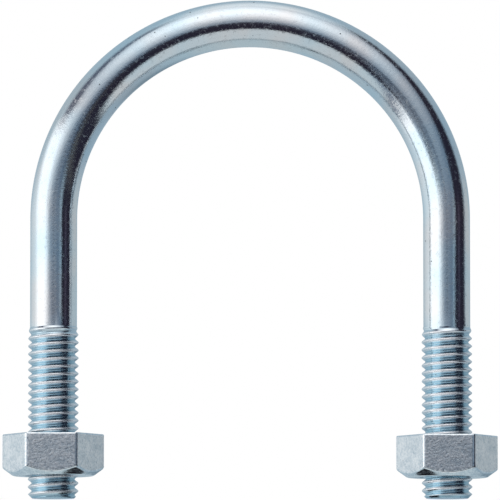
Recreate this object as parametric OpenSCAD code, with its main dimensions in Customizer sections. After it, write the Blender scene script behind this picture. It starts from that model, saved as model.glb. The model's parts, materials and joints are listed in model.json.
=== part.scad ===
// U-bolt: a round bar bent to a half circle, with a rolled M10 thread and a hex nut on each leg.
// The origin is on the axis of the clamped pipe: +X across the legs, +Y along the pipe, +Z to the bow.

/* [Bent bar] */
// Clear width between the two legs
inside_w = 66.5; // [40:0.5:120]
// Diameter of the plain bar, the blank that the thread is rolled on
bar_d = 9; // [8.8:0.05:9.2]
// Length of the plain leg below the half circle
shank_len = 20.7; // [5:0.1:60]

/* [Thread] */
// Diameter over the thread's crests
thread_major_d = 9.8; // [9.7:0.05:9.9]
// Distance from one crest to the next
thread_pitch = 1.5; // [1.5:0.05:1.6]
// Turns of thread on a leg
thread_turns = 22; // [18:1:40]
// Height and width of the 45 degree bevel on the end of a leg
end_bevel = 0.8; // [0.7:0.1:1.2]

/* [Nuts] */
// Width across the nut's flats
nut_af = 17; // [16:0.5:18]
// Height of the nut
nut_h = 8; // [6:0.1:9]
// Diameter of the round bottom face that the corner chamfer leaves
nut_face_d = 15.4; // [14:0.1:15.8]
// Angle of the corner chamfer above the bottom face
nut_chamfer_angle = 36; // [20:1:45]
// Height of the left nut's bearing face above the leg's end
left_nut_lift = 12.3; // [10:0.1:20]
// Height of the right nut's bearing face above the leg's end
right_nut_lift = 12; // [10:0.1:20]
// Turn of the left nut about its leg, in degrees
left_nut_turn = -1; // [-30:1:30]
// Turn of the right nut about its leg, in degrees
right_nut_turn = 1; // [-30:1:30]

/* [Hidden] */
$fn = 96;

bar_r = bar_d / 2;
bend_r = inside_w / 2 + bar_r;          // radius of the bar's centre line, and each leg's offset
thread_len = thread_turns * thread_pitch;
leg_end_z = -(shank_len + thread_len);

// Basic metric profile: crest flat of pitch / 8, root flat of pitch / 4, 60 degree flanks
crest_r = thread_major_d / 2;
crest_flat = thread_pitch / 8;
root_flat = thread_pitch / 4;
flank_h = (thread_pitch - crest_flat - root_flat) / 2;
root_r = crest_r - flank_h / tan(30);
end_r = crest_r - end_bevel;

// Each nut is drawn with its chamfered face at height 0 and its bearing face at nut_h
crest_gap = 0.05;                       // running clearance between crest and nut
split_gap = 0.03;                       // clearance between the nut's threaded core and its hexagon
nut_bore_r = crest_r + crest_gap;
nut_lead_in = 0.5;                      // bevel at both mouths of the nut's thread
core_r = nut_bore_r + nut_lead_in;
nut_corner_d = nut_af / cos(30);

// The end of the leg is bevelled, so no point of the thread stands outside the bevel
function bevelled(r, z) = [min(r, end_r + z - leg_end_z), z];

// The crest of the turn that starts at top_z, and the root that it shares with the next turn
function crest_of(top_z) = [
    bevelled(crest_r, top_z - root_flat / 2 - flank_h),
    bevelled(crest_r, top_z - root_flat / 2 - flank_h - crest_flat)
];
function root_below(top_z) = [
    [root_r, top_z - thread_pitch + root_flat / 2],
    [root_r, top_z - thread_pitch - root_flat / 2]
];

// The thread's outline from the top down, one ring for each turn
thread_outline = [
    for (i = [0 : thread_turns - 1])
        let (top_z = -shank_len - i * thread_pitch)
            each i < thread_turns - 1 ? concat(crest_of(top_z), root_below(top_z)) : crest_of(top_z)
];

// Plain shank and thread as one turned shape, with its bevelled end
module leg() {
    rotate_extrude()
        polygon(concat(
            [[0, 0], [bar_r, 0], [bar_r, -shank_len]],
            thread_outline,
            [[end_r, leg_end_z], [0, leg_end_z]]
        ));
}

// The half circle of bar over the pipe
module bow() {
    rotate([90, 0, 0])
        rotate_extrude(angle = 180)
            translate([bend_r, 0])
                circle(r = bar_r);
}

module u_bar() {
    color("lightsteelblue") {
        bow();
        for (side = [-1, 1])
            translate([side * bend_r, 0, 0])
                leg();
    }
}

// Places a nut's shapes on a leg: side is -1 or 1, lift is its bearing face's height above the leg's end
module on_leg(side, lift, turn) {
    translate([side * bend_r, 0, leg_end_z + lift - nut_h])
        rotate([0, 0, turn])
            children();
}

// Hexagon with one chamfered face, open in the middle for its threaded core
module nut_hexagon() {
    difference() {
        intersection() {
            cylinder(d = nut_corner_d, h = nut_h, $fn = 6);
            cylinder(
                d1 = nut_face_d,
                d2 = nut_face_d + 2 * nut_h / tan(nut_chamfer_angle),
                h = nut_h
            );
        }
        translate([0, 0, -1])
            cylinder(r = core_r + split_gap, h = nut_h + 2);
    }
}

// The nut's threaded core, bored to clear the crests and bevelled at both mouths
module nut_core() {
    rotate_extrude()
        polygon([
            [core_r, 0],
            [core_r, nut_h],
            [nut_bore_r, nut_h - nut_lead_in],
            [nut_bore_r, nut_lead_in]
        ]);
}

module left_nut() {
    color("slategray")
        on_leg(-1, left_nut_lift, left_nut_turn)
            nut_hexagon();
}

module left_nut_thread() {
    color("cadetblue")
        on_leg(-1, left_nut_lift, left_nut_turn)
            nut_core();
}

module right_nut() {
    color("slategray")
        on_leg(1, right_nut_lift, right_nut_turn)
            nut_hexagon();
}

module right_nut_thread() {
    color("cadetblue")
        on_leg(1, right_nut_lift, right_nut_turn)
            nut_core();
}

u_bar();
left_nut();
left_nut_thread();
right_nut();
right_nut_thread();
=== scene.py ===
"""A zinc-plated U-bolt for a pipe: a round bar bent to a half circle, with a thread and a nut on each leg."""

import json
import math

import bmesh
import bpy
import numpy as np
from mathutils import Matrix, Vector


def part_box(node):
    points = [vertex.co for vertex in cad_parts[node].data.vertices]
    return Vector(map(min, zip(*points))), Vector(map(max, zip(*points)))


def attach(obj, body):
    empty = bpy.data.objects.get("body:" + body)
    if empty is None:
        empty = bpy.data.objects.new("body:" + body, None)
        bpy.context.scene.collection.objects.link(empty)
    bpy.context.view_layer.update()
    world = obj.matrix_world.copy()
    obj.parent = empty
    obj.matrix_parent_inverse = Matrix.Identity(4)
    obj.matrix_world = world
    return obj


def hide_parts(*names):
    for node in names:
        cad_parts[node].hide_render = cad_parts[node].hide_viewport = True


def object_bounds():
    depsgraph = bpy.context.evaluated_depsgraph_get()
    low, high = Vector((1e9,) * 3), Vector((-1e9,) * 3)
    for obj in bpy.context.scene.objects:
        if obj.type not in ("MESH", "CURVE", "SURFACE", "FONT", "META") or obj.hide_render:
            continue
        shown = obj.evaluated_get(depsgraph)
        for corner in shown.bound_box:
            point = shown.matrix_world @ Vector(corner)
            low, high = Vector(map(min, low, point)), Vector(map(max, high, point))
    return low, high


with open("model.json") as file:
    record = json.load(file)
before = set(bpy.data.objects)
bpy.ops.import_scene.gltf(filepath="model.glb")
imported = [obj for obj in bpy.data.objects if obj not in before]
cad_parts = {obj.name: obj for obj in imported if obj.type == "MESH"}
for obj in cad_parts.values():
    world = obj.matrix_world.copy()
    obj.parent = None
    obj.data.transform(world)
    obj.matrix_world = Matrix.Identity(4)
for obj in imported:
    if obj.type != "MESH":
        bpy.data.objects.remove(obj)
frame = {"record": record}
cad_low, cad_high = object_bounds()

# The bent bar. One length of 9 mm round steel, with a thread rolled on each end and the middle bent round a
# former. The legs stay straight and parallel, and the ends are bevelled so that a nut starts easily.
mounts = {mount["name"]: mount for mount in frame["record"]["mounts"]}
BEND_R = mounts["leg_pair"]["dims"]["spacing_x_mm"] / 2000
BAR_R = mounts["leg_pair"]["dims"]["stud_r_mm"] / 1000
LEG_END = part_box("u_bar")[0].z
THREAD_TOP = -0.0207
PITCH = 0.0015
CREST_R = 0.00484
THREAD_DEPTH = 0.00069
END_BEVEL = 0.0008
END_R = CREST_R - END_BEVEL
# A small step ends the plain shank, and the thread grows to its full depth over the run-out below it
STEP = 0.00011
STEP_LENGTH = 0.0005
RUN_OUT = 0.0034
BAR_COLUMNS = 96
TURN = 2 * math.pi
# Height of a crest on each leg's right-hand side, which sets where its thread starts
CREST_Z = {"left": -0.03277, "right": -0.03198}
# Rows of points in one turn of the thread, counted from a crest: close together over the crest and the root
CREST_STEPS = np.array([0, 0.035, 0.07, 0.12, 0.19, 0.27, 0.34, 0.4, 0.45])
# Half of the crest's width, and the distance from a crest to where the root begins, in pitches
CREST_HALF = 1 / 24
ROOT_FROM = 11 / 24
THREAD_ROWS = np.concatenate([CREST_STEPS, [0.5], 1 - CREST_STEPS[:0:-1]])


def grid_faces(rows, columns, climb=0):
    """Quads of a closed grid of rows. The last column joins the first one, climb rows further on."""
    row, column = np.indices((rows - 1, columns))
    beside = (column + 1) % columns
    lift = np.where(beside == 0, climb, 0)
    near, far = np.minimum(row + lift, rows - 1), np.minimum(row + 1 + lift, rows - 1)
    corners = [
        row * columns + column,
        near * columns + beside,
        far * columns + beside,
        (row + 1) * columns + column,
    ]
    return np.stack(corners, axis=-1).reshape(-1, 4)


def ridge(angle, z, crest_z, widen=0.0):
    """1 on a crest and 0 in a root. With d the distance to the nearest crest in pitches, it falls from
    d = CREST_HALF to d = ROOT_FROM, as the mean of a straight line and an eased one, which leaves the flank
    nearly straight. A crest is widened by widen pitches on each side."""
    turns = (z - crest_z) / PITCH - angle / TURN
    off = np.abs(turns - np.round(turns))
    fall = np.clip((off - CREST_HALF - widen) / (ROOT_FROM - CREST_HALF), 0, 1)
    eased = fall * fall * (3 - 2 * fall)
    return 1 - (0.5 * fall + 0.5 * eased)


def threaded_tube(centre_x, low, high, crest_z, radius, angles):
    """Points and faces of a surface round a leg's axis, from a flat ring at low to one at high. Its rows
    climb with the thread: z = crest_z + PITCH * (turn + step + angle / TURN), held between low and high, and
    r = radius(angle, z). Rows within near of an end ring lie on it."""
    first, last = math.floor((low - crest_z) / PITCH) - 1, math.ceil((high - crest_z) / PITCH)
    level = (np.arange(first, last + 1)[:, None] + THREAD_ROWS).ravel()
    z = crest_z + PITCH * (level[:, None] + angles / TURN)
    near = PITCH / 80
    z = np.where(z < low + near, low, np.where(z > high - near, high, z))
    angle = np.broadcast_to(angles, z.shape)
    r = radius(angle, z)
    points = np.stack([centre_x + r * np.cos(angle), r * np.sin(angle), z], axis=-1)
    return points.reshape(-1, 3), grid_faces(len(level), len(angles), len(THREAD_ROWS))


def rings(centre_x, r, z, angles):
    """Points and faces of a stack of rings about a leg's axis; r and z hold one row for each ring."""
    r = np.broadcast_to(r, (len(r), len(angles)))
    z = np.broadcast_to(z, r.shape)
    points = np.stack([centre_x + r * np.cos(angles), r * np.sin(angles), z], axis=-1)
    return points.reshape(-1, 3), grid_faces(len(r), len(angles))


def closed_piece(name, parts):
    """One mesh object from grids whose edges meet. They are welded there, and all faces turned outwards."""
    starts = np.cumsum([0] + [len(points) for points, faces in parts[:-1]])
    mesh = bpy.data.meshes.new(name)
    mesh.from_pydata(
        np.concatenate([points for points, faces in parts]).tolist(),
        [],
        np.concatenate([faces + start for (points, faces), start in zip(parts, starts)]).tolist(),
    )
    shell = bmesh.new()
    shell.from_mesh(mesh)
    bmesh.ops.remove_doubles(shell, verts=shell.verts, dist=1e-7)
    bmesh.ops.recalc_face_normals(shell, faces=shell.faces)
    shell.to_mesh(mesh)
    shell.free()
    mesh.shade_smooth()
    piece = bpy.data.objects.new(name, mesh)
    bpy.context.scene.collection.objects.link(piece)
    return piece


def mesh_points(piece):
    """The piece's points as an array of x, y, z."""
    flat = np.empty(len(piece.data.vertices) * 3)
    piece.data.vertices.foreach_get("co", flat)
    return flat.reshape(-1, 3)


def bar_radius(angle, z, crest_z):
    """The thread's radius on a leg: a small step out from the plain bar, then ridges that grow over the
    run-out to the full crest and root, and last the bevel at the leg's end."""
    below = THREAD_TOP - z
    step = np.clip(below / STEP_LENGTH, 0, 1)
    grown = np.clip(below / RUN_OUT, 0, 1)
    grown = grown * (2 - grown)
    start = BAR_R + STEP * step * step * (3 - 2 * step)
    thread = CREST_R - THREAD_DEPTH * (1 - ridge(angle, z, crest_z))
    return np.minimum(start + grown * (thread - start), END_R + z - LEG_END)


bar_angles = np.arange(BAR_COLUMNS) * TURN / BAR_COLUMNS
# The path of the plain bar: up the right leg, over the bow and down the left leg
LEG_RINGS = 7
BOW_RINGS = 145
leg_z = np.linspace(THREAD_TOP, 0, LEG_RINGS + 1)[:-1]
bow = np.linspace(0, math.pi, BOW_RINGS)
out_x = np.concatenate([np.ones_like(leg_z), np.cos(bow), -np.ones_like(leg_z)])
out_z = np.concatenate([np.zeros_like(leg_z), np.sin(bow), np.zeros_like(leg_z)])
path_z = np.concatenate([leg_z, BEND_R * np.sin(bow), leg_z[::-1]])
reach = BAR_R * np.cos(bar_angles)
plain_bar = np.stack(
    [
        out_x[:, None] * (BEND_R + reach),
        np.broadcast_to(BAR_R * np.sin(bar_angles), (len(path_z), BAR_COLUMNS)),
        path_z[:, None] + out_z[:, None] * reach,
    ],
    axis=-1,
).reshape(-1, 3)
bar_parts = [(plain_bar, grid_faces(len(path_z), BAR_COLUMNS))]
# The rings of the flat end of a leg, as shares of its radius
END_RINGS = np.array([[0], [0.3], [0.7], [0.95], [1]])
for side, centre_x in (("left", -BEND_R), ("right", BEND_R)):
    crest_z = CREST_Z[side]

    def leg_radius(angle, z, crest_z=crest_z):
        """The radius of this leg, whose thread starts at its own height."""
        return bar_radius(angle, z, crest_z)

    end_ring = leg_radius(bar_angles, np.full(BAR_COLUMNS, LEG_END))
    bar_parts.append(threaded_tube(centre_x, LEG_END, THREAD_TOP, crest_z, leg_radius, bar_angles))
    bar_parts.append(rings(centre_x, end_ring * END_RINGS, LEG_END, bar_angles))
bar = closed_piece("bent_bar", bar_parts)

# Where each point was on the bar before it was bent: outwards, sideways and along, in metres
bar_at = mesh_points(bar)
on_bow = bar_at[:, 2] > 0
out = np.where(on_bow, np.hypot(bar_at[:, 0], bar_at[:, 2]), np.abs(bar_at[:, 0])) - BEND_R
round_bow = BEND_R * np.arctan2(np.maximum(bar_at[:, 2], 0), bar_at[:, 0])
along = round_bow + np.where(on_bow, 0, np.where(bar_at[:, 0] > 0, bar_at[:, 2], -bar_at[:, 2]))
straight = np.stack([out, bar_at[:, 1], along], axis=-1)
bar.data.attributes.new("straight", "FLOAT_VECTOR", "POINT").data.foreach_set("vector", straight.ravel())
# How high each point stands on the thread: 0 in the root, 1 on the crest
height = (np.hypot(out, bar_at[:, 1]) - (CREST_R - THREAD_DEPTH)) / THREAD_DEPTH
bar.data.attributes.new("crest", "FLOAT", "POINT").data.foreach_set("value", np.clip(height, 0, 1))


def linear(code, alpha=1.0):
    """An sRGB hex colour as linear red, green and blue."""
    channels = [int(code[i : i + 2], 16) / 255 for i in (1, 3, 5)]
    return [c / 12.92 if c <= 0.04045 else ((c + 0.055) / 1.055) ** 2.4 for c in channels] + [alpha]


def add(tree, kind, settings=None, inputs=None):
    """Adds a node with its settings. An input is a value, a socket, or a node whose first output is meant."""
    made = tree.nodes.new(kind)
    for key, value in (settings or {}).items():
        setattr(made, key, value)
    for key, value in (inputs or {}).items():
        if isinstance(value, bpy.types.Node):
            value = value.outputs[0]
        if isinstance(value, bpy.types.NodeSocket):
            tree.links.new(value, made.inputs[key])
        else:
            made.inputs[key].default_value = value
    return made


def both(tree, first, second):
    """The product of two masks."""
    return add(tree, "ShaderNodeMath", {"operation": "MULTIPLY"}, {0: first, 1: second})


def zinc_plated_bar():
    """Bright zinc electroplate under a blue chromate film, over drawn bar: a glossy metal whose reflections
    have ragged edges, from a fine grain and from faint lines along the bar. It is scuffed and pitted from the
    plating barrel. The film is thicker in the thread's roots, which look teal, and the crests are rubbed
    white."""
    material = bpy.data.materials.new("bright_zinc_plate_on_drawn_bar")
    material.use_nodes = True
    tree = material.node_tree
    shader = tree.nodes["Principled BSDF"]
    shader.inputs["Metallic"].default_value = 1.0
    place = add(tree, "ShaderNodeAttribute", {"attribute_name": "straight"}).outputs["Vector"]
    crest = add(tree, "ShaderNodeAttribute", {"attribute_name": "crest"}).outputs["Fac"]
    height = add(tree, "ShaderNodeSeparateXYZ", inputs={0: add(tree, "ShaderNodeTexCoord").outputs["Object"]})
    on_thread = add(
        tree,
        "ShaderNodeMapRange",
        {"interpolation_type": "SMOOTHSTEP"},
        {0: height.outputs[2], 1: THREAD_TOP, 2: THREAD_TOP - 0.0015, 3: 0.0, 4: 1.0},
    )
    # Lines left by the drawing die: 0.4 mm apart round the bar and some 15 mm long
    stretched = add(tree, "ShaderNodeMapping", inputs={0: place, 3: (1.0, 1.0, 0.025)})
    lines = add(tree, "ShaderNodeTexNoise", inputs={0: stretched, "Scale": 2500.0, "Detail": 2.0})
    # Grain of the plate, drawn at 0.5 mm, twice its real size, so that it shows
    grain = add(
        tree,
        "ShaderNodeTexNoise",
        inputs={0: place, "Scale": 1900.0, "Detail": 4.0, "Roughness": 0.7},
    )
    # Scuffs, 0.7 mm and sparse
    rubbed = add(
        tree,
        "ShaderNodeTexNoise",
        inputs={0: place, "Scale": 1400.0, "Detail": 4.0, "Roughness": 0.7, "Distortion": 0.6},
    )
    scuffs = add(tree, "ShaderNodeMapRange", inputs={0: rubbed, 1: 0.52, 2: 0.68, 3: 0.0, 4: 1.0})
    # Pits, up to 0.3 mm across and some 8 mm apart
    cells = add(tree, "ShaderNodeTexVoronoi", inputs={0: place, "Scale": 380.0})
    pits = add(tree, "ShaderNodeMapRange", inputs={0: cells, 1: 0.04, 2: 0.07, 3: 1.0, 4: 0.0})
    # The chromate film shifts between a blue and a straw tint over 10 mm or so
    drift = add(tree, "ShaderNodeTexNoise", inputs={0: place, "Scale": 90.0, "Detail": 2.0})
    tint = add(tree, "ShaderNodeValToRGB", inputs={0: drift})
    bluish, plain = tint.color_ramp.elements
    bluish.position, bluish.color = 0.36, linear("#d6e6ee")
    plain.position, plain.color = 0.5, linear("#e1e8ec")
    straw = tint.color_ramp.elements.new(0.64)
    straw.color = linear("#e8e6e6")
    film = add(tree, "ShaderNodeValToRGB", inputs={0: crest})
    root, top = film.color_ramp.elements
    root.position, root.color = 0.05, linear("#b0cfdd")
    top.position, top.color = 0.9, linear("#fbf8f8")
    flank = film.color_ramp.elements.new(0.5)
    flank.color = linear("#dae7ed")
    plate = add(
        tree,
        "ShaderNodeMix",
        {"data_type": "RGBA"},
        {0: on_thread, 6: tint.outputs[0], 7: film.outputs[0]},
    )
    colour = add(
        tree,
        "ShaderNodeMix",
        {"data_type": "RGBA"},
        {0: pits, 6: plate.outputs[2], 7: linear("#5f6468")},
    )
    tree.links.new(colour.outputs[2], shader.inputs["Base Color"])
    dull = add(tree, "ShaderNodeMapRange", inputs={0: lines, 1: 0.3, 2: 0.7, 3: 0.08, 4: 0.15})
    rubbed_crest = both(tree, crest, on_thread)
    for cause, amount in ((scuffs, 0.26), (pits, 0.3), (on_thread, 0.03), (rubbed_crest, 0.05)):
        dull = add(tree, "ShaderNodeMath", {"operation": "MULTIPLY_ADD"}, {0: cause, 1: amount, 2: dull})
    tree.links.new(dull.outputs[0], shader.inputs["Roughness"])
    # The grain tilts the surface by a degree or two, which is what frays the edges of the reflections
    relief = add(tree, "ShaderNodeMath", {"operation": "MULTIPLY_ADD"}, {0: lines, 1: 0.5, 2: grain})
    bump = add(tree, "ShaderNodeBump", inputs={"Strength": 1.0, "Distance": 0.000020, "Height": relief})
    tree.links.new(bump.outputs[0], shader.inputs["Normal"])
    return material


bar.data.materials.append(zinc_plated_bar())
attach(bar, "u_bar")
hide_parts("u_bar")

# The two nuts. Each is cold-forged from steel, tapped, and turned on one face only, which leaves a round face
# and chamfered corners below and a plain hexagon above, where it bears on the plate. They are barrel plated.
NUT_AF = 0.017
NUT_H = 0.008
FACE_R = 0.0077
# Rise of the chamfer for each unit outwards
CHAMFER = math.tan(math.radians(36))
CORNER_ROUND = 0.00056
TOP_ROUND = 0.00028
LOW_ROUND = 0.0003
MOUTH_R = 0.00545
BORE_MAJOR_R = 0.00495
BORE_MINOR_R = 0.00425
NUT_TURN = {"left": math.radians(-1), "right": math.radians(1)}

# Columns from a corner of the hexagon to the middle of a flat: close together round the corner's small radius
arc_centre = (NUT_AF / 2 - CORNER_ROUND) / math.cos(math.pi / 6)
arc_end = math.atan2(CORNER_ROUND / 2, arc_centre + CORNER_ROUND * math.cos(math.pi / 6))
on_corner = arc_end * np.array([0, 0.3, 0.6, 0.85, 1])
half_side = np.concatenate([on_corner, np.radians([3, 7, 12, 17, 22, 26])])
from_corner = np.concatenate([half_side, [math.pi / 6], math.pi / 3 - half_side[:0:-1]])


def hexagon_radius(angle, nut_turn):
    """Distance from the axis to the hexagon's side: half the width over the cosine of the angle from the
    flat's middle, or near a corner the far side of a circle of the corner's radius."""
    off = (angle - nut_turn + math.pi / 6) % (math.pi / 3) - math.pi / 6
    flat = NUT_AF / 2 / np.cos(math.pi / 6 - np.abs(off))
    inside = np.maximum(CORNER_ROUND**2 - (arc_centre * np.sin(off)) ** 2, 0)
    return np.where(np.abs(off) < arc_end, arc_centre * np.cos(off) + np.sqrt(inside), flat)


def eased_corner(before, corner, after, size, steps=7):
    """Points of a curve that rounds a corner: (1 - t)^2 a + 2 t (1 - t) corner + t^2 b, where a and b lie
    size away from it, towards before and after."""
    t = np.linspace(0, 1, steps)[:, None, None]
    a = corner + size * (before - corner) / np.linalg.norm(before - corner, axis=-1, keepdims=True)
    b = corner + size * (after - corner) / np.linalg.norm(after - corner, axis=-1, keepdims=True)
    return (1 - t) ** 2 * a + 2 * t * (1 - t) * corner + t**2 * b


def nut_outside(angles, nut_turn):
    """The nut's section at each angle, as rows of r and z. It goes from the top mouth of the thread out over
    the bearing face, down the side, over the chamfer and in to the bottom mouth, round at each edge."""
    wide = hexagon_radius(angles, nut_turn)
    flat = np.zeros_like(wide)
    top_mouth = np.stack([flat + MOUTH_R, flat + NUT_H], axis=-1)
    top_edge = np.stack([wide, flat + NUT_H], axis=-1)
    low_edge = np.stack([wide, (wide - FACE_R) * CHAMFER], axis=-1)
    face_edge = np.stack([flat + FACE_R, flat], axis=-1)
    low_mouth = np.stack([flat + MOUTH_R, flat], axis=-1)
    # Extra rows on each face, as shares of its width, which stop short of where the roundings begin
    on_bearing = np.array([0.45, 0.828])[:, None, None]
    between = np.array([0.08, 0.5, 0.92])[:, None, None]
    rows = [
        top_mouth[None],
        top_mouth + on_bearing * (top_edge - top_mouth),
        eased_corner(top_mouth, top_edge, low_edge, TOP_ROUND),
        top_edge + between * (low_edge - top_edge),
        eased_corner(top_edge, low_edge, face_edge, LOW_ROUND),
        low_edge + (0.3 + 0.4 * between) * (face_edge - low_edge),
        eased_corner(low_edge, face_edge, low_mouth, LOW_ROUND),
        low_mouth[None],
    ]
    section = np.concatenate(rows)
    return section[..., 0], section[..., 1]


def burnished(points, centre_x, nut_low, nut_turn):
    """1 on the nut's rounded outer edges and 0 elsewhere. A point counts when it is nearer to an edge than
    0.9 of its rounding, or on the arc of a corner and within 0.02 mm of the hexagon's side."""
    angle = np.arctan2(points[:, 1], points[:, 0] - centre_x)
    r = np.hypot(points[:, 0] - centre_x, points[:, 1])
    z = points[:, 2] - nut_low
    wide = hexagon_radius(angle, nut_turn)
    off = (angle - nut_turn + math.pi / 6) % (math.pi / 3) - math.pi / 6
    corner = (np.abs(off) < arc_end) & (wide - r < 0.00002)
    top = (NUT_H - z < 0.9 * TOP_ROUND) & (wide - r < 0.9 * TOP_ROUND)
    low = (np.abs(z - (wide - FACE_R) * CHAMFER) < 0.9 * LOW_ROUND) & (wide - r < 0.9 * LOW_ROUND)
    face = (np.abs(r - FACE_R) < 0.9 * LOW_ROUND) & (z < 0.9 * LOW_ROUND)
    return (corner | top | low | face).astype(float)


def zinc_plated_nut(side, centre_x, nut_low):
    """Barrel-plated zinc under a blue chromate film, over a forged and turned nut: satin flats with a fine
    orange peel, glossier where it was turned, with faint rings there, and edges burnished by the barrel."""
    material = bpy.data.materials.new(f"satin_zinc_plate_on_forged_{side}_nut")
    material.use_nodes = True
    tree = material.node_tree
    shader = tree.nodes["Principled BSDF"]
    shader.inputs["Metallic"].default_value = 1.0
    place = add(tree, "ShaderNodeTexCoord").outputs["Object"]
    centred = add(tree, "ShaderNodeMapping", inputs={0: place, 1: (-centre_x, 0.0, -nut_low)})
    edge = add(tree, "ShaderNodeAttribute", {"attribute_name": "burnished"}).outputs["Fac"]
    # Orange peel of the forged flats, drawn at 0.45 mm so that it shows
    peel = add(
        tree,
        "ShaderNodeTexNoise",
        inputs={0: centred, "Scale": 2200.0, "Detail": 3.0, "Roughness": 0.75},
    )
    # Turning rings, about 0.3 mm apart, on the surfaces that face up or down
    across = add(tree, "ShaderNodeVectorMath", {"operation": "MULTIPLY"}, {0: centred, 1: (1.0, 1.0, 0.0)})
    radius = add(tree, "ShaderNodeVectorMath", {"operation": "LENGTH"}, {0: across})
    turned = add(tree, "ShaderNodeCombineXYZ", inputs={0: radius.outputs["Value"]})
    ring = add(tree, "ShaderNodeTexNoise", inputs={0: turned, "Scale": 5800.0, "Detail": 1.0})
    true_normal = add(tree, "ShaderNodeNewGeometry").outputs["True Normal"]
    facing = add(tree, "ShaderNodeSeparateXYZ", inputs={0: true_normal})
    upright = add(tree, "ShaderNodeMath", {"operation": "ABSOLUTE"}, {0: facing.outputs[2]})
    on_turned = add(tree, "ShaderNodeMapRange", inputs={0: upright, 1: 0.3, 2: 0.6, 3: 0.0, 4: 1.0})
    # Rubbed patches of 2 mm, with finer ones in them, and dark pits of 0.2 mm
    patches = add(tree, "ShaderNodeTexNoise", inputs={0: centred, "Scale": 520.0, "Detail": 3.0})
    cells = add(tree, "ShaderNodeTexVoronoi", inputs={0: centred, "Scale": 420.0})
    pits = add(tree, "ShaderNodeMapRange", inputs={0: cells, 1: 0.03, 2: 0.055, 3: 1.0, 4: 0.0})
    speckle = add(tree, "ShaderNodeMath", {"operation": "MULTIPLY_ADD"}, {0: peel, 1: 2.0, 2: patches})
    worn = add(tree, "ShaderNodeMapRange", inputs={0: speckle, 1: 1.2, 2: 1.8, 3: 0.0, 4: 1.0})
    plate = add(
        tree,
        "ShaderNodeMix",
        {"data_type": "RGBA"},
        {0: worn, 6: linear("#d3dce2"), 7: linear("#ffffff")},
    )
    colour = add(
        tree,
        "ShaderNodeMix",
        {"data_type": "RGBA"},
        {0: pits, 6: plate.outputs[2], 7: linear("#7f8588")},
    )
    tree.links.new(colour.outputs[2], shader.inputs["Base Color"])
    dull = add(tree, "ShaderNodeMapRange", inputs={0: peel, 1: 0.3, 2: 0.7, 3: 0.27, 4: 0.39})
    for cause, amount in ((on_turned, -0.14), (edge, -0.24)):
        dull = add(tree, "ShaderNodeMath", {"operation": "MULTIPLY_ADD"}, {0: cause, 1: amount, 2: dull})
    dull = add(tree, "ShaderNodeMath", {"operation": "MAXIMUM"}, {0: dull, 1: 0.1})
    tree.links.new(dull.outputs[0], shader.inputs["Roughness"])
    smooth = add(tree, "ShaderNodeMath", {"operation": "MAXIMUM"}, {0: on_turned, 1: edge})
    forged = add(tree, "ShaderNodeMath", {"operation": "MULTIPLY_ADD"}, {0: smooth, 1: -0.8, 2: 1.0})
    peel_cut = both(tree, peel, forged)
    peel_bump = add(tree, "ShaderNodeBump", inputs={"Strength": 1.0, "Distance": 0.00008, "Height": peel_cut})
    rings_cut = both(tree, ring, on_turned)
    ring_bump = add(
        tree,
        "ShaderNodeBump",
        inputs={"Strength": 1.0, "Distance": 0.000012, "Height": rings_cut, "Normal": peel_bump},
    )
    tree.links.new(ring_bump.outputs[0], shader.inputs["Normal"])
    return material


for side, centre_x in (("left", -BEND_R), ("right", BEND_R)):
    nut_low = mounts[f"{side}_nut_seat"]["pos_m"][2] - NUT_H
    corners = NUT_TURN[side] + np.arange(6) * math.pi / 3
    nut_angles = (corners[:, None] + from_corner).ravel()
    crest_z = CREST_Z[side]

    def bore_radius(angle, z, nut_low=nut_low, crest_z=crest_z):
        """The nut's thread, cut back by a 45 degree mouth at each end."""
        mouth = MOUTH_R - np.minimum(z - nut_low, nut_low + NUT_H - z)
        thread = BORE_MAJOR_R - THREAD_DEPTH * (1 - ridge(angle, z, crest_z, widen=-0.03))
        return np.maximum(mouth, np.maximum(thread, BORE_MINOR_R))

    section_r, section_z = nut_outside(nut_angles, NUT_TURN[side])
    nut = closed_piece(
        f"{side}_hex_nut",
        [
            rings(centre_x, section_r, nut_low + section_z, nut_angles),
            threaded_tube(centre_x, nut_low, nut_low + NUT_H, crest_z, bore_radius, nut_angles),
        ],
    )
    rubbed = burnished(mesh_points(nut), centre_x, nut_low, NUT_TURN[side])
    nut.data.attributes.new("burnished", "FLOAT", "POINT").data.foreach_set("value", rubbed)
    nut.data.materials.append(zinc_plated_nut(side, centre_x, nut_low))
    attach(nut, f"{side}_nut")
    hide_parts(f"{side}_nut", f"{side}_nut_thread")

# The camera. A long lens 1.3 m away and a little below the middle of the u-bolt, so that the nuts show the
# edge of their turned faces.
CAMERA_DISTANCE = 1.3
CAMERA_ELEVATION = math.radians(-4.6)
FRAME_WIDTH = 0.09607
camera = bpy.data.objects.new("camera", bpy.data.cameras.new("camera"))
bpy.context.scene.collection.objects.link(camera)
bpy.context.scene.camera = camera
# The camera aims a hair to the left of the u-bolt's middle and below it
AIM_LEFT = 0.00003
AIM_BELOW = 0.00022
aim = Vector((-AIM_LEFT, 0.0, (cad_low.z + cad_high.z) / 2 - AIM_BELOW))
back = Vector((0.0, -math.cos(CAMERA_ELEVATION), math.sin(CAMERA_ELEVATION)))
camera.location = aim + CAMERA_DISTANCE * back
camera.rotation_euler = (-back).to_track_quat("-Z", "Y").to_euler()
SENSOR_MM = 36.0
camera.data.sensor_width = SENSOR_MM
camera.data.lens = SENSOR_MM * CAMERA_DISTANCE / FRAME_WIDTH
camera.data.clip_start = 0.01

# The light. A pale tent stands round the u-bolt, with a window of light at the left, a round lamp in front
# and above, a black card at the right, a grey one at the left, and a dark table with a white sheet on it
# below. The bright bar mirrors them as streaks.
scene = bpy.context.scene
scene.view_settings.view_transform = "Standard"
tent = bpy.data.worlds.new("light_tent")
scene.world = tent
tent.use_nodes = True
tree = tent.node_tree
tree.nodes.clear()
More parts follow.
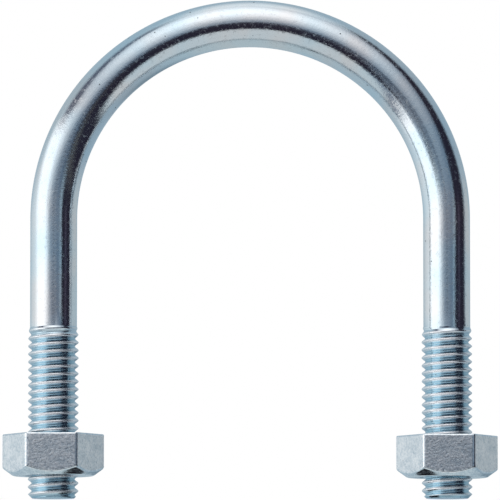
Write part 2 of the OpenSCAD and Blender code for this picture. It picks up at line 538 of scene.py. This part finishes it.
# The tent is laid out on a flat map. Its middle is the front (-Y), the distance from the middle is the angle
# from the front in degrees, to the right is +X and up is +Z.
way = add(tree, "ShaderNodeTexCoord").outputs["Generated"]
front = add(tree, "ShaderNodeVectorMath", {"operation": "DOT_PRODUCT"}, {0: way, 1: (0.0, -1.0, 0.0)})
radians_off = add(tree, "ShaderNodeMath", {"operation": "ARCCOSINE"}, {0: front.outputs["Value"]})
degrees_off = add(tree, "ShaderNodeMath", {"operation": "DEGREES"}, {0: radians_off})
sideways = add(tree, "ShaderNodeVectorMath", {"operation": "MULTIPLY"}, {0: way, 1: (1.0, 0.0, 1.0)})
heading = add(tree, "ShaderNodeVectorMath", {"operation": "NORMALIZE"}, {0: sideways})
spot = add(tree, "ShaderNodeVectorMath", {"operation": "SCALE"}, {0: heading, "Scale": degrees_off})


def fall(value, near, far):
    """1 below near and 0 above far, with a smooth step between them."""
    steps = {0: value, 1: near, 2: far, 3: 1.0, 4: 0.0}
    return add(tree, "ShaderNodeMapRange", {"interpolation_type": "SMOOTHSTEP"}, steps)


def inside(*corners):
    """1 inside a sheet and 0 outside. Its corners go clockwise, each as x, z and the width of the soft edge
    to the next corner."""
    mask = None
    for (x0, z0, soft), (x1, z1, _) in zip(corners, corners[1:] + corners[:1]):
        length = math.hypot(x1 - x0, z1 - z0)
        outward = ((z0 - z1) / length, 0.0, (x1 - x0) / length)
        limit = outward[0] * x0 + outward[2] * z0
        beyond = add(tree, "ShaderNodeVectorMath", {"operation": "DOT_PRODUCT"}, {0: spot, 1: outward})
        edge = fall(beyond.outputs["Value"], limit - soft / 2, limit + soft / 2)
        mask = both(tree, mask, edge) if mask else edge
    return mask


def distance_from(x, z):
    """How far a spot of the map is from a point of it, in degrees."""
    apart = add(tree, "ShaderNodeVectorMath", {"operation": "DISTANCE"}, {0: spot, 1: (x, 0.0, z)})
    return apart.outputs["Value"]


def over(light, mask, colour):
    """The light with a sheet of another colour in front of it where the mask is 1."""
    return add(tree, "ShaderNodeMix", {"data_type": "RGBA"}, {0: mask, 6: light, 7: colour}).outputs[2]


WHITE = (1.3, 1.33, 1.36, 1.0)
BLACK = (0.022, 0.020, 0.034, 1.0)
# The tent's cloth: lighter at the left and at the top, greyer at the right, and darker behind at the lower
# right
right_of_middle = add(tree, "ShaderNodeSeparateXYZ", inputs={0: way})
light = over(linear("#9cb0be"), fall(right_of_middle, -1.0, 1.0), linear("#b1c4cf"))
light = over(light, fall(distance_from(105, -120), 10, 60), linear("#7c919f"))
light = over(light, fall(distance_from(125, 8), 12, 45), linear("#bcc4c8"))
light = over(light, fall(distance_from(-98, -4), 5, 75), linear("#e6edf1"))
light = over(light, fall(distance_from(0, 88), 10, 52), linear("#f4f8fb"))
# Two dark cards, which end where the front half of the tent does
right_card = inside((40, -31, 5), (40, 120, 5), (140, 120, 5), (140, -76, 5))
light = over(light, both(tree, right_card, fall(degrees_off, 90, 104)), BLACK)
left_card = inside((-33, 100, 20), (-33, 22, 8), (-110, 60, 5), (-110, 100, 5))
light = over(light, both(tree, left_card, fall(degrees_off, 84, 104)), linear("#5c6374"))
# The round lamp, whose sheet fades from white to a dim blue towards the table
DIM_BLUE = (0.11, 0.16, 0.23, 1.0)
lamp = over(DIM_BLUE, fall(distance_from(-5, 58), 2, 66), WHITE)
light = over(light, fall(distance_from(0, 42.3), 46.5, 51), lamp)
# The window of light at the left
light = over(light, inside((-94, 54, 8), (-28, 21.5, 44), (-28, -17, 5), (-90, -48, 30)), WHITE)
# The white sheet that lies on the table, with a dim line round its far edge
below = inside((-34, -31, 3), (43, -31, 5), (100, -54, 5), (100, -140, 5), (-100, -140, 5), (-100, -68, 5))
light = over(light, fall(distance_from(0, -110), 20, 90), linear("#b9c9d0"))
light = over(light, both(tree, below, fall(degrees_off, 87, 91)), linear("#76848d"))
light = over(light, both(tree, below, fall(degrees_off, 82, 86)), linear("#cad3d8"))
# The table's dark front, with pale strips where its edge catches the light, and the camera in the middle
light = over(light, inside((-22, -17, 4), (-28, -27, 4), (-84, -57, 4), (-80, -48, 4)), linear("#5a6278"))
light = over(light, inside((-36, -1.5, 2), (42, -1.5, 5), (42, -31, 3), (-28, -31, 3)), BLACK)
light = over(light, inside((60, 6, 4), (103, 4, 5), (103, -22, 5), (76, -38, 4), (60, -38, 4)), BLACK)
table_edge = inside((8, -6.6, 1.5), (80, -6.2, 1.5), (80, -8, 1.5), (30, -9.6, 1.5))
light = over(light, table_edge, linear("#72736f"))
light = over(light, inside((-38, -8, 3), (-4, -4, 3), (-20, -12, 3), (-36, -19, 3)), linear("#9aa7b6"))
light = over(light, fall(distance_from(62, 7), 1, 6), linear("#5c586a"))
light = over(light, fall(distance_from(0, -1), 3, 6), BLACK)
reflected = add(tree, "ShaderNodeBackground", inputs={0: light})
backdrop = add(tree, "ShaderNodeBackground", inputs={0: (1.0, 1.0, 1.0, 1.0)})
seen = add(tree, "ShaderNodeLightPath").outputs["Is Camera Ray"]
tent_light = add(tree, "ShaderNodeMixShader", inputs={0: seen, 1: reflected, 2: backdrop})
add(tree, "ShaderNodeOutputWorld", inputs={0: tent_light})

# Two small black cards that lie flat below the legs' ends, slanting towards the gap between the legs. They
# are painted shade:
# dark sheets that stand in for the shade under each nut. The camera doesn't see them, but each nut's chamfer
# mirrors its own as a dark streak on the inner side, a painted reflection of that shade.
CARD_BELOW = 0.012
CARD_Z = LEG_END - CARD_BELOW
# The middles of the right card's two ends, and half of such an end, as x and y. The left card mirrors it.
CARD_FROM = np.array([0.0316, -0.0025])
CARD_TO = np.array([0.0220, 0.0088])
CARD_HALF = np.array([0.0027, 0.0023])
card = np.array([CARD_FROM + CARD_HALF, CARD_FROM - CARD_HALF, CARD_TO - CARD_HALF, CARD_TO + CARD_HALF])
both_cards = np.concatenate([card, card * (-1, 1)])
card_points = np.column_stack([both_cards, np.full(len(both_cards), CARD_Z)])
card_mesh = bpy.data.meshes.new("low_black_cards")
card_mesh.from_pydata(card_points.tolist(), [], [[0, 1, 2, 3], [7, 6, 5, 4]])
cards = bpy.data.objects.new("low_black_cards", card_mesh)
scene.collection.objects.link(cards)
# The cards' matt black is painted shade, in place of the shade under each nut
shade_stand_in = bpy.data.materials.new("black_felt_card")
shade_stand_in.use_nodes = True
shade_stand_in.node_tree.nodes["Principled BSDF"].inputs["Base Color"].default_value = linear("#141218")
shade_stand_in.node_tree.nodes["Principled BSDF"].inputs["Roughness"].default_value = 1.0
cards.data.materials.append(shade_stand_in)
cards.visible_camera = False
cards.visible_shadow = False
cards.visible_diffuse = False

# The floor: white paper below the u-bolt, which fades into the white of the tent. The metal doesn't mirror
# it, so that the bar's reflections stay those of the tent.
FLOOR_BELOW_CAMERA = 0.01
FLOOR_Z = aim.z + CAMERA_DISTANCE * math.sin(CAMERA_ELEVATION) - FLOOR_BELOW_CAMERA
FLOOR_R = 2.4
FLOOR_COLUMNS = 96
floor_angles = np.arange(FLOOR_COLUMNS) * TURN / FLOOR_COLUMNS
floor_r = FLOOR_R * np.array([[0], [0.25], [0.5], [0.75], [1]])
floor_points, floor_faces = rings(0.0, floor_r, FLOOR_Z, floor_angles)
floor = closed_piece("paper_floor", [(floor_points, floor_faces)])
paper = bpy.data.materials.new("white_background_paper")
paper.use_nodes = True
tree = paper.node_tree
tree.nodes["Principled BSDF"].inputs["Base Color"].default_value = linear("#f4f4f2")
tree.nodes["Principled BSDF"].inputs["Roughness"].default_value = 0.9
# How far out a point of the floor is, and how clear the paper has become there: from 0.5 m out to 2.3 m
floor_at = add(tree, "ShaderNodeTexCoord").outputs["Object"]
far_out = add(tree, "ShaderNodeVectorMath", {"operation": "LENGTH"}, {0: floor_at})
fade = add(
    tree,
    "ShaderNodeMapRange",
    {"interpolation_type": "SMOOTHSTEP"},
    {0: far_out.outputs["Value"], 1: 0.5, 2: 2.3, 3: 0.0, 4: 1.0},
)
clear = add(tree, "ShaderNodeBsdfTransparent")
faded = add(tree, "ShaderNodeMixShader", inputs={0: fade, 1: tree.nodes["Principled BSDF"], 2: clear})
tree.links.new(faded.outputs[0], tree.nodes["Material Output"].inputs["Surface"])
floor.data.materials.append(paper)
floor.visible_glossy = False

# An overhead sheet of light for the floor alone, which the metal doesn't mirror
overhead = bpy.data.objects.new("overhead_light", bpy.data.lights.new("overhead_light", "AREA"))
scene.collection.objects.link(overhead)
overhead.location = (0.0, -0.1, 1.6)
overhead.data.shape = "DISK"
overhead.data.size = 1.2
overhead.data.energy = 14.0
overhead.visible_glossy = False
overhead.visible_camera = False
